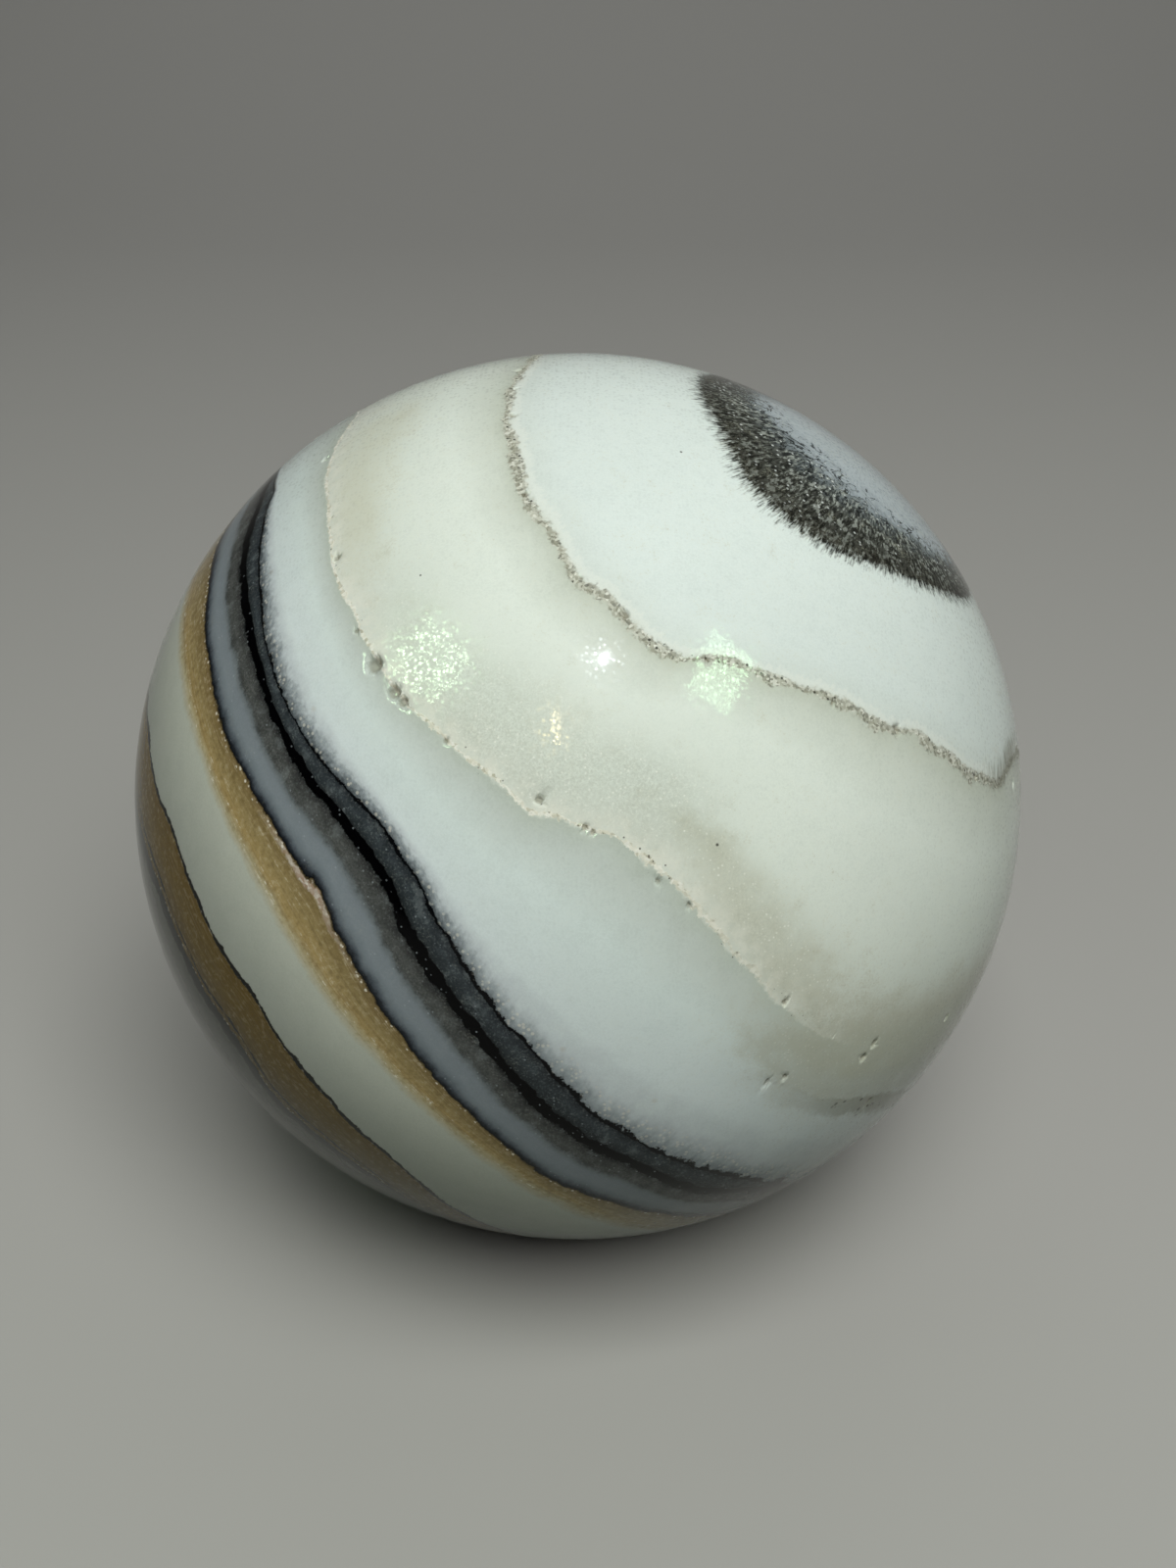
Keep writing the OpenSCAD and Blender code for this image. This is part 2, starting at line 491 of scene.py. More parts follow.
@dataclass(frozen=True)
class GrowthGrid:
    """The ball's surface as a grid of columns round the growth axis and rows along the lines."""

    view: View
    axis: GrowthAxis
    pits: Pits
    columns: int = 760
    plain_rows: int = 62
    least_gap: float = 0.9
    pit_columns: float = 5.0
    pit_margin: float = 0.6
    row_margin: float = 0.4
    line_margin: float = 0.06
    bearing_samples: int = 20001
    level_samples: int = 8001
    fine_rows: tuple[tuple[float, float, float], ...] = (
        (33.8, 1.5, 7.0), (47.9, 1.1, 7.0), (52.0, 3.4, 5.0))

    def bearings(self) -> np.ndarray:
        """Bearings of the columns, closer together across each pit.

        The columns are spaced evenly in a count that grows by the bearing and,
        at each pit, by a smooth step a little wider than the pit.
        """
        pit_b, pit_f = self.axis.read(self.pits.table()[0])
        half = np.degrees(self.pits.table()[1] / BALL_RADIUS / np.sin(np.radians(pit_f)))
        half = half * self.pit_margin
        fine = np.linspace(-180, 180, self.bearing_samples)
        count = (self.columns - self.pit_columns * len(pit_b)) * (fine + 180) / 360
        for b, h in zip(pit_b, half):
            for turn in (-360, 0, 360):
                count += self.pit_columns * ease(fine, b + turn - h, b + turn + h)
        count -= count[0]
        even = np.arange(self.columns) * count[-1] / self.columns
        return np.interp(even, count, fine)

    def levels(self) -> np.ndarray:
        """Distances along the growth of the rows, closer together at the pits, with one at each line."""
        fine = np.linspace(0, Level.FAR_POLE, self.level_samples)
        weight = np.ones_like(fine)
        for middle, half, times in self.fine_rows:
            weight += times * (1 - ease(np.abs(fine - middle), half, half + self.row_margin))
        count = np.concatenate([[0], np.cumsum(weight[1:])])
        span = count[-1] / (Level.FAR_POLE / (self.plain_rows + 1))
        steps = int(span / (self.level_samples / Level.FAR_POLE)) + 1
        rows = np.interp(np.linspace(0, count[-1], steps), count, fine)[1:-1]
        lines = np.array([line.level.value for line in LINES])
        clear = np.abs(rows[:, None] - lines).min(1) > self.line_margin
        return np.sort(np.concatenate([rows[clear], lines]))

    def falls(self, bearing: np.ndarray, level: np.ndarray) -> np.ndarray:
        """The fall of every row at every column: in proportion between the two lines that bound it."""
        known = [np.zeros_like(bearing)]
        for line in LINES:
            fall = line.fall(bearing, self.view, self.axis)
            known.append(np.maximum(fall, known[-1] + self.least_gap))
        known.append(np.full_like(bearing, 180.0))
        known = np.stack(known)
        marks = np.array([0, *(line.level.value for line in LINES), Level.FAR_POLE.value])
        k = np.clip(np.searchsorted(marks, level, side="right") - 1, 0, len(marks) - 2)
        share = ((level - marks[k]) / (marks[k + 1] - marks[k]))[:, None]
        return known[k] * (1 - share) + known[k + 1] * share

    def build(self) -> bpy.types.Object:
        """Makes the mesh with its attributes and its unwrapping.

        Returns:
            The ball's object.
        """
        bearing, level = self.bearings(), self.levels()
        rows, cols = len(level), len(bearing)
        fall = self.falls(bearing, level)
        spread = np.broadcast_to(bearing, fall.shape)
        direction = self.axis.place(spread, fall).reshape(-1, 3)
        axis = self.axis.rows()[2]
        direction = np.concatenate([[axis], direction, [-axis]])
        radius, share = self.pits.carve(direction)
        growth = np.concatenate([[0], np.repeat(level, cols), [Level.FAR_POLE]])
        turn = np.concatenate([[0], spread.ravel(), [0]])

        r, c = np.meshgrid(np.arange(rows - 1), np.arange(cols), indexing="ij")
        here, beside = 1 + r * cols + c, 1 + r * cols + (c + 1) % cols
        quads = np.stack([here, here + cols, beside + cols, beside], -1).reshape(-1, 4)
        rim = np.arange(cols)
        following = (rim + 1) % cols
        last = 1 + (rows - 1) * cols
        top = np.stack([np.zeros(cols, int), 1 + rim, 1 + following], 1)
        foot = np.stack([np.full(cols, last + cols), last + following, last + rim], 1)

        mesh = bpy.data.meshes.new("calcite_ball")
        faces = [*top.tolist(), *quads.tolist(), *foot.tolist()]
        mesh.from_pydata((direction * radius[:, None] * METRE).tolist(), [], faces)
        flat = np.zeros(len(faces), bool)
        flat[cols:-cols] = (share[quads] > 0).any(1)
        mesh.polygons.foreach_set("use_smooth", ~flat)
        self.lay(mesh, "growth", growth)
        self.lay(mesh, "pit", share)
        for haze in Haze:
            amount = sum(p.amount(turn, growth) for p in HAZES if p.haze is haze)
            self.lay(mesh, haze.value, np.clip(amount, 0, 1))
        round_axis = np.stack([np.cos(np.radians(turn)), np.sin(np.radians(turn)), 0 * turn], 1)
        around = mesh.attributes.new("around", "FLOAT_VECTOR", "POINT")
        around.data.foreach_set("vector", round_axis.astype(np.float32).ravel())
        self.unwrap(mesh, rows, cols, bearing, growth)
        mesh.validate()
        mesh.update()
        ball = bpy.data.objects.new("calcite_ball", mesh)
        bpy.context.scene.collection.objects.link(ball)
        return ball

    def lay(self, mesh: bpy.types.Mesh, name: str, values: np.ndarray) -> None:
        """Writes one number a vertex into a named attribute."""
        layer = mesh.attributes.new(name, "FLOAT", "POINT")
        layer.data.foreach_set("value", values.astype(np.float32))

    def unwrap(self, mesh: bpy.types.Mesh, rows: int, cols: int, bearing: np.ndarray,
               growth: np.ndarray) -> None:
        """Unrolls the ball flat: across by the column, and up by the distance along the growth."""
        corner = np.zeros(len(mesh.loops), np.int32)
        mesh.loops.foreach_get("vertex_index", corner)
        face_start = np.zeros(len(mesh.polygons), np.int32)
        mesh.polygons.foreach_get("loop_start", face_start)
        face_of = np.searchsorted(face_start, np.arange(len(corner)), side="right") - 1
        column = (corner - 1) % cols
        face_col = np.where(face_of < cols, face_of, (face_of - cols) % cols)
        wrapped = (column == 0) & (face_col == cols - 1)
        pole = (corner == 0) | (corner == rows * cols + 1)
        across = (bearing[column] + 180) / 360 + wrapped
        across = np.where(pole, (bearing[face_col] + 180) / 360, across)
        up = 1 - growth[corner] / Level.FAR_POLE
        layer = mesh.uv_layers.new(name="OFBake")
        layer.data.foreach_set("uv", np.stack([across, up], 1).astype(np.float32).ravel())


# ------------------------------------------------------------- shader nodes


class Sheet:
    """A node tree, with short ways to lay nodes on it and join them."""

    def __init__(self, tree: bpy.types.NodeTree) -> None:
        """Keeps the tree that the nodes go in."""
        self.tree = tree

    def put(self, kind: str, settings: dict | None = None, **inputs: Signal) -> bpy.types.Node:
        """Lays one node.

        Args:
            kind: The node's type, without the leading ShaderNode.
            settings: Properties of the node.
            **inputs: A value or a socket for each input, by its name with _ for a space.

        Returns:
            The node.
        """
        node = self.tree.nodes.new("ShaderNode" + kind)
        for name, value in (settings or {}).items():
            setattr(node, name, value)
        for name, value in inputs.items():
            self.join(value, node.inputs[name.replace("_", " ")])
        return node

    def join(self, value: Signal, socket: Socket) -> None:
        """Links a socket to an input, or sets the input to a plain value.

        Args:
            value: The socket or the plain value.
            socket: The input.
        """
        if isinstance(value, bpy.types.NodeSocket):
            self.tree.links.new(value, socket)
        else:
            socket.default_value = value

    def maths(self, operation: str, a: Signal, b: Signal = 0.0, c: Signal = 0.0) -> Socket:
        """One sum of up to three numbers.

        Args:
            operation: The Math node's own name for it.
            a: The first number.
            b: The second, where it takes one.
            c: The third, where it takes one.

        Returns:
            The result.
        """
        node = self.put("Math", {"operation": operation})
        for value, socket in zip((a, b, c), node.inputs):
            self.join(value, socket)
        return node.outputs[0]

    def plus(self, a: Signal, b: Signal) -> Socket:
        """a + b."""
        return self.maths("ADD", a, b)

    def times(self, *factors: Signal) -> Signal:
        """The product of the factors."""
        return functools.reduce(functools.partial(self.maths, "MULTIPLY"), factors)

    def most(self, *values: Signal) -> Signal:
        """The greatest of the values."""
        return functools.reduce(functools.partial(self.maths, "MAXIMUM"), values)

    def linear(self, value: Signal, slope: Signal, start: Signal) -> Socket:
        """value x slope + start."""
        return self.maths("MULTIPLY_ADD", value, slope, start)

    def sway(self, value: Signal, noise: Signal, amount: Signal) -> Socket:
        """A value moved either way by a noise about one half: value + (noise - 0.5) x amount."""
        return self.linear(self.maths("SUBTRACT", noise, 0.5), amount, value)

    def fold(self, noise: Socket) -> Socket:
        """How far a noise is from one half: next to nothing along thin winding lines."""
        return self.maths("ABSOLUTE", self.maths("SUBTRACT", noise, 0.5))

    def step(self, value: Signal, low: Signal, high: Signal) -> Socket:
        """A smooth step from 0 at low to 1 at high."""
        node = self.put("MapRange", {"interpolation_type": "SMOOTHSTEP"},
                        Value=value, From_Min=low, From_Max=high)
        return node.outputs[0]

    def between(self, value: Signal, rise: Span, drop: Span) -> Socket:
        """1 between a smooth step up over a rise and one down over a drop."""
        return self.times(self.step(value, *rise), self.step(value, *drop))

    def stripe(self, value: Signal, middle: float, half: Signal, soft: float) -> Socket:
        """1 within half of the middle, falling to 0 over the soft width beyond."""
        aside = self.maths("ABSOLUTE", self.maths("SUBTRACT", value, middle))
        return self.step(self.maths("SUBTRACT", aside, half), soft, 0.0)

    def mix(self, share: Signal, a: Signal, b: Signal, blend: str = "MIX") -> Socket:
        """Colour a turned into colour b by a share.

        Args:
            share: From 0 for a to 1 for b.
            a: The first colour.
            b: The second colour.
            blend: The Mix node's way of blending.

        Returns:
            The colour.
        """
        node = self.put("Mix", {"data_type": "RGBA", "blend_type": blend})
        for value, place in ((share, 0), (a, 6), (b, 7)):
            self.join(value, node.inputs[place])
        return node.outputs[2]

    def tint(self, body: Signal, code: str, *factors: Signal, blend: str = "MIX") -> Socket:
        """A body colour turned into a screen colour by the product of the factors."""
        return self.mix(self.times(*factors), body, colour(code), blend)

    def tints(self, body: Socket, region: Socket, rows: tuple[tuple, ...]) -> Socket:
        """Tints within a region, each where a noise passes a step.

        Args:
            body: The colour so far.
            region: 1 inside the region.
            rows: The noise, the low and the high of its step, the strength and the screen colour.

        Returns:
            The tinted colour.
        """
        for noise, low, high, strength, code in rows:
            body = self.tint(body, code, self.step(noise, low, high), region, strength)
        return body

    def noise(self, vector: Socket, scale: float, detail: float = 2.0, rough: float = 0.5,
              bend: float = 0.0) -> Socket:
        """Soft noise about one half, with so many features to a unit of the vector."""
        node = self.put("TexNoise", None, Vector=vector, Scale=scale, Detail=detail,
                        Roughness=rough, Distortion=bend)
        return node.outputs[0]

    def cells(self, vector: Socket, scale: float) -> Cells:
        """Crystal cells: the distance to the nearest seed, and a random number for the cell."""
        node = self.put("TexVoronoi", {"feature": "F1"}, Vector=vector, Scale=scale)
        luck = self.put("SeparateColor", None, Color=node.outputs["Color"])
        return node.outputs["Distance"], luck.outputs[0]

    def grains(self, cells: Cells, size: Span, chance: Span) -> Socket:
        """One round grain in each of some cells.

        Args:
            cells: The cells.
            size: The distances from the seed where the grain begins and where it is full.
            chance: The random numbers of cells that have no grain and a full one.

        Returns:
            1 inside the grains and 0 outside.
        """
        distance, luck = cells
        return self.times(self.step(distance, *size), self.step(luck, *chance))

    def attribute(self, name: str, port: str = "Fac") -> Socket:
        """A named attribute of the mesh."""
        return self.put("Attribute", {"attribute_name": name}).outputs[port]

    def ramp(self, value: Signal, stops: Stops, reach: float) -> Socket:
        """Colours along a value.

        Args:
            value: The value.
            stops: Values and their screen colours.
            reach: The value at the ramp's end, which begins at 0.

        Returns:
            The colour.
        """
        node = self.put("ValToRGB", None, Fac=self.maths("DIVIDE", value, reach))
        elements = node.color_ramp.elements
        while len(elements) < len(stops):
            elements.new(0.5)
        for element, (place, code) in zip(elements, stops):
            element.position = place / reach
            element.color = colour(code)
        return node.outputs[0]


class StoneSheet(Sheet):
    """The stone's node tree, with what its finish reads at each point of the surface."""

    def __init__(self, tree: bpy.types.NodeTree) -> None:
        """Lays the place in mm, the growth, the direction round its axis and four noises.

        Args:
            tree: The stone's node tree.
        """
        super().__init__(tree)
        place = self.put("TexCoord").outputs["Object"]
        millimetres = self.put("VectorMath", {"operation": "SCALE"}, Vector=place, Scale=1 / METRE)
        self.spot = millimetres.outputs[0]
        self.growth = self.attribute("growth")
        self.around = self.attribute("around", "Vector")
        self.wander = self.noise(self.spot, 0.4, 2)
        self.ragged = self.noise(self.spot, 2.2, 4, 0.65)
        self.grain = self.noise(self.spot, 6.0, 2, 0.6)
        self.mottle = self.noise(self.spot, 0.55, 4, 0.62)
        self.edge = self.sway(self.sway(self.growth, self.wander, 0.9), self.ragged, 0.6)

    def haze(self, haze: Haze) -> Socket:
        """How much there is of a haze."""
        return self.attribute(haze.value)

    def rays(self, fine: float, long: float) -> Socket:
        """A noise on a cylinder about the growth axis, drawn out along it.

        Args:
            fine: How many features to a radian round the axis.
            long: How many to a mm along the growth.

        Returns:
            The noise, about one half.
        """
        turn = self.put("VectorMath", {"operation": "SCALE"}, Vector=self.around, Scale=fine)
        rise = self.put("CombineXYZ", None, Z=self.times(self.growth, long))
        both = self.put("VectorMath", {"operation": "ADD"}, Vector=turn.outputs[0])
        self.join(rise.outputs[0], both.inputs[1])
        return self.noise(both.outputs[0], 1.0, 3, 0.6)


# ------------------------------------------------------------ the stone look


@dataclass(frozen=True)
class Palette:
    """Screen colours: of the layers by distance along the growth, and of crystals by their chance."""

    pale: Stops = (
        (0, "cdd5d8"), (5.0, "c4ccd0"), (17.0, "dfe8e5"), (20, "e1eae7"), (30, "dee7e4"),
        (32.6, "d8e0db"), (33.3, "c2c7ba"), (34.6, "d2d8ce"), (37.5, "e3eae2"), (44.0, "e3eae1"),
        (47.8, "e0e4da"), (48.0, "bec6bc"), (49.0, "c9d1cb"), (51.5, "dbe6e3"), (55.0, "dde7e7"),
        (55.8, "c9d1d4"), (56.4, "969ea2"), (56.9, "656c70"), (57.2, "42484c"))
    dark: Stops = (
        (57.2, "202327"), (57.5, "2e3236"), (58.4, "3f464a"), (59.5, "2d3234"), (59.9, "141617"),
        (60.6, "161718"), (61.1, "434443"), (61.9, "585a58"), (62.4, "525452"), (62.75, "737a7d"),
        (63.2, "868e94"), (64.2, "8a9399"), (64.9, "7c858b"), (65.4, "525961"), (65.75, "202329"),
        (65.95, "0f1115"), (66.12, "0b0c0f"), (66.16, "86734c"), (67.6, "a39062"), (68.7, "b8a06c"),
        (69.4, "c8bd9a"), (70.3, "cfd3c6"), (77.7, "bec3b9"), (78.2, "735a1c"), (82.0, "7a611d"),
        (85.8, "604a12"), (86.8, "585b52"), (95, "585c53"), (119, "989d96"))
    eye: Stops = (
        (0, "c0c9cc"), (6.5, "b6bfc4"), (8.4, "a3acb1"), (10.0, "7f888c"), (11.2, "5d6364"),
        (12.6, "494b47"), (16, "40403a"), (19, "45433b"))
    eye_reach: float = 24.0
    upper_crystals: Stops = (
        (0, "4f4a3d"), (0.16, "757060"), (0.36, "918e7e"), (0.60, "aeac9e"), (0.84, "cccbc0"),
        (1, "e6e5dc"))
    lower_crystals: Stops = ((0, "aaa48c"), (0.25, "d6d2bf"), (0.6, "eae7d9"), (1, "f4f3eb"))


# Each cloud's screen colour and strength
HAZE_TINTS = {
    Haze.BEIGE: ("c8c8b3", 0.60), Haze.FROST: ("c3c9bf", 0.30),
    Haze.SAND: ("b6b59f", 0.48), Haze.OLIVE: ("a3a089", 0.57)}


@dataclass(frozen=True)
class BlackLine:
    """A crisp black line: its place along the growth, least half width, swell and colour."""

    level: float
    half: float
    swell: float
    code: str


BLACK_LINES = (
    BlackLine(Level.SLATE_EDGE + 0.1, 0.05, 0.13, "0b0c0e"),
    BlackLine(Level.JET_LINE, 0.34, 0.30, "030304"),
    BlackLine(Level.THIN_LINE, 0.12, 0.16, "050504"),
    BlackLine(Level.CAP_LINE, 0.50, 0.40, "020202"),
    BlackLine(Level.CAP_LINE - 1.7, 0.0, 0.22, "1c150a"),
)


@dataclass(frozen=True)
class CrystalRow:
    """Small open crystals beside a line: their place, half width, soft width and strength."""

    level: float
    half: float
    soft: float
    strength: float


CRYSTAL_ROWS = (
    CrystalRow(Level.SLATE_EDGE - 0.5, 0.10, 0.5, 0.45),
    CrystalRow(Level.NAVY_LINE + 0.16, 0.10, 0.10, 0.95),
    CrystalRow(Level.CAP_LINE - 0.9, 0.12, 0.12, 0.55),
    CrystalRow(Level.THIN_LINE + 0.22, 0.05, 0.08, 0.35),
)


@dataclass(frozen=True)
class StoneFinish:
    """The polished stone: its layers, seams, eye and clouds, and the wear of its polish.

    Between body and polish, each step takes the stone's sheet s and the body
    colour so far, and returns that colour with its own part laid on.
    """

    view: View
    palette: Palette = Palette()
    roughness: float = 0.06
    groove_roughness: float = 0.6
    crust_roughness: float = 0.3
    ior: float = 1.2
    bloom_roughness: float = 0.19
    bloom_least: float = 0.03
    bloom_more: float = 0.85
    ripple: float = 0.008
    crust_height: float = 0.12
    translucence: float = 0.2
    glow_depth: float = 2.0
    glow_tint: tuple[float, float, float] = (1.0, 0.95, 0.85)
    specks: Pixels = ((429, 587), (695, 461), (343, 577), (552, 820), (653, 866), (679, 883),
                      (732, 862), (648, 1243), (668, 1248), (690, 1245), (600, 846))
    speck_radius: float = 0.10
    speck_spread: float = 0.04

    def material(self) -> bpy.types.Material:
        """Makes the material.

        Returns:
            The stone's material.
        """
        material = bpy.data.materials.new("banded_calcite")
        material.use_nodes = True
        material.node_tree.nodes.clear()
        s = StoneSheet(material.node_tree)
        body = self.sugar(s, self.body(s))
        body = self.eye(s, body)
        body, frosted = self.hazes(s, body)
        body, upper = self.upper_seam(s, body)
        body, lower = self.lower_seam(s, body)
        body = self.streaks(s, body)
        body = self.black_lines(s, body)
        body, crust = self.crystals(s, body)
        body = self.pores(s, body)
        pit = s.attribute("pit")
        # Painted shade: the pit hollows are darkened in the colour, partly their own brownish fill and
        # partly shade painted in where the small hollows get little of their own.
        body = s.tint(body, "766f5e", s.step(pit, 0.15, 0.8), 0.55)
        coarse = s.most(upper, lower, crust, s.step(pit, 0.1, 0.6))
        worm = s.fold(s.noise(s.spot, 2.4, 1, 0.5, 0.6))
        groove = s.times(s.step(worm, 0.02, 0.06), frosted)
        # The fine grooves of the frosty stone are painted darker: partly its own grain, and partly
        # painted shade for the gaps that they break in the lamps' reflections.
        body = s.tint(body, "8f968a", groove, 0.14)
        self.polish(s, body, coarse, groove)
        return material

    def polish(self, s: StoneSheet, body: Socket, coarse: Socket, groove: Socket) -> None:
        """Lays the shader: a fine ripple, rough seams and pits, and a dull bloom in some grains.

        Args:
            s: The stone's sheet.
            body: The finished colour.
            coarse: 1 where the stone is open and rough.
            groove: 1 in the fine winding grooves of the frosty stone.
        """
        relief = s.times(s.noise(s.spot, 1.2, 0), self.ripple)
        relief = s.plus(relief, s.times(coarse, s.maths("SUBTRACT", s.ragged, 0.5), self.crust_height))
        bump = s.put("Bump", None, Height=relief, Distance=METRE, Strength=1.0)
        rough = s.plus(self.roughness, s.times(groove, self.groove_roughness))
        rough = s.plus(rough, s.times(coarse, self.crust_roughness))
        bloom = s.grains(s.cells(s.spot, 3.2), (0.55, 0.2), (0.25, 0.8))
        bright = s.step(s.growth, Level.SLATE_EDGE - 0.5, Level.SLATE_EDGE - 3.0)
        bloom = s.times(s.linear(bloom, self.bloom_more, self.bloom_least), bright)
        shader = s.put(
            "BsdfPrincipled", {"subsurface_method": "RANDOM_WALK"}, Base_Color=body,
            Roughness=rough, Normal=bump.outputs[0], Coat_Weight=bloom, IOR=self.ior,
            Coat_Roughness=self.bloom_roughness, Subsurface_Weight=self.translucence,
            Subsurface_Radius=self.glow_tint, Subsurface_Scale=self.glow_depth * METRE)
        s.put("OutputMaterial", None, Surface=shader.outputs[0])

    def body(self, s: StoneSheet) -> Socket:
        """The layers' own colours, with fine spikes of smoke standing out of the slate edge."""
        split = Level.SLATE_EDGE.value
        near_slate = s.stripe(s.growth, split - 0.6, 0.5, 1.0)
        across = s.put("SeparateXYZ", None, Vector=s.around).outputs["X"]
        thin = s.step(across, -0.45, 0.0)
        smoke = s.sway(s.edge, s.rays(90.0, 2.2), s.times(near_slate, s.linear(thin, -0.9, 1.5)))
        smoke = s.linear(s.times(thin, near_slate), -0.55, smoke)
        smoke = s.maths("MINIMUM", smoke, s.most(s.edge, split - 0.1))
        pale = s.ramp(smoke, self.palette.pale, split)
        below_seam = s.stripe(s.edge, Level.LOWER_SEAM + 0.9, 1.1, 1.6)
        pale = s.tint(pale, "dae2d8", s.haze(Haze.FADE), below_seam)
        beyond = tuple((growth - split, code) for growth, code in self.palette.dark)
        dark = s.ramp(s.maths("SUBTRACT", s.edge, split), beyond, Level.FAR_POLE - split)
        return s.mix(s.step(s.edge, split - 0.03, split + 0.03), pale, dark)

    def sugar(self, s: StoneSheet, body: Socket) -> Socket:
        """The faint sugary mottling of all the stone, in clouds and in fine grains."""
        cloud = s.noise(s.spot, 0.09, 2)
        for noise, low, high, strength, code in (
                (cloud, 0.3, 0.7, 0.05, "aab2ab"), (s.mottle, 0.58, 0.40, 0.05, "a9b0aa"),
                (s.grain, 0.60, 0.42, 0.07, "9ba39e")):
            body = s.tint(body, code, s.step(noise, low, high), strength, blend="MULTIPLY")
        return body

    def eye(self, s: StoneSheet, body: Socket) -> Socket:
        """The eye: a sooty ring of fine strokes that point outwards from a pale streaky middle."""
        strokes, hairs = s.rays(46.0, 1.3), s.rays(120.0, 1.1)
        blotch = s.noise(s.spot, 0.8, 4, 0.65)
        inner = s.sway(s.sway(s.growth, blotch, 6.0), strokes, 3.0)
        soot = s.ramp(inner, self.palette.eye, self.palette.eye_reach)
        outer = s.step(inner, 8.8, 11.0)
        soot = s.tint(soot, "161612", s.step(hairs, 0.50, 0.36), outer, 0.6)
        soot = s.tint(soot, "131311", s.step(strokes, 0.50, 0.38), outer, 0.75)
        light = s.times(s.step(strokes, 0.50, 0.60), s.step(blotch, 0.38, 0.56), outer)
        soot = s.tint(soot, "aab0aa", light, s.step(inner, 21.0, 12.0), 0.75)
        soot = s.tint(soot, "8f9aa1", s.step(strokes, 0.50, 0.38), s.step(inner, 9.5, 7.0), 0.4)
        glint = s.grains(s.cells(s.spot, 2.6), (0.36, 0.16), (0.74, 0.80))
        soot = s.tint(soot, "e3e8e7", glint, s.between(inner, (7.5, 9.5), (18.0, 13.0)), 0.8)
        squiggle = s.step(s.fold(s.noise(s.spot, 0.7, 2, 0.5, 1.5)), 0.034, 0.012)
        soot = s.tint(soot, "0e1012", squiggle, s.stripe(inner, 9.6, 1.6, 1.4), 0.9)
        outline = s.sway(s.sway(s.growth, hairs, 3.6), strokes, 2.4)
        return s.mix(s.step(outline, Level.EYE_EDGE + 1.0, Level.EYE_EDGE - 0.7), body, soot)

    def hazes(self, s: StoneSheet, body: Socket) -> tuple[Socket, Socket]:
        """The soft clouds on the eye's side of the middle seam, broken up by the stone's grain.

        Returns:
            The body colour, and 1 where the stone is frosty.
        """
        inside = s.step(s.growth, Level.LOWER_SEAM + 0.25, Level.LOWER_SEAM - 0.2)
        masks = {}
        for haze, (code, strength) in HAZE_TINTS.items():
            mask = s.step(s.sway(s.sway(s.haze(haze), s.mottle, 1.0), s.grain, 1.1), 0.05, 1.15)
            masks[haze] = mask if haze is Haze.OLIVE else s.times(mask, inside)
            body = s.tint(body, code, masks[haze], strength)
        sparkly = s.most(masks[Haze.FROST], masks[Haze.SAND], s.times(masks[Haze.OLIVE], 0.5))
        # Painted glints: white grains in the frosty and sandy clouds stand in for sparkles of light off
        # their crystals.
        glint = s.grains(s.cells(s.spot, 3.8), (0.42, 0.12), (0.50, 0.95))
        body = s.tint(body, "f4f6ee", glint, sparkly, 0.65)
        body = s.tint(body, "94957f", s.step(s.grain, 0.56, 0.38), sparkly, 0.22)
        return body, masks[Haze.FROST]

    def upper_seam(self, s: StoneSheet, body: Socket) -> tuple[Socket, Socket]:
        """The seam round the eye: a chain of cream and olive crystals set with tiny black gaps.

        Returns:
            The body colour, and 1 where the seam is rough.
        """
        seam = Level.UPPER_SEAM
        line = s.sway(s.sway(s.growth, s.wander, 0.9), s.ragged, 1.1)
        inner = s.stripe(s.sway(line, s.rays(75.0, 0.5), 1.4), seam - 0.6, 0.2, 0.45)
        body = s.tint(body, "eceee6", inner, 0.3)
        half = s.linear(s.step(s.noise(s.spot, 0.5, 3), 0.3, 0.7), 0.32, 0.03)
        chain = s.stripe(line, seam, half, 0.30)
        distance, luck = s.cells(s.spot, 5.0)
        body = s.mix(s.times(chain, 0.70), body, s.ramp(luck, self.palette.upper_crystals, 1.0))
        near = s.stripe(line, seam - 0.05, s.plus(half, 0.12), 0.15)
        gaps = s.grains(s.cells(s.spot, 2.1), (0.28, 0.15), (0.46, 0.36))
        body = s.tint(body, "211d16", gaps, near, 0.88)
        brush = s.step(s.sway(s.haze(Haze.BRUSH), s.rays(120.0, 0.55), 1.7), 0.5, 1.1)
        body = s.tint(body, "707060", brush, s.step(s.growth, seam + 0.7, seam), 0.75)
        return body, s.times(chain, s.step(distance, 0.1, 0.4))

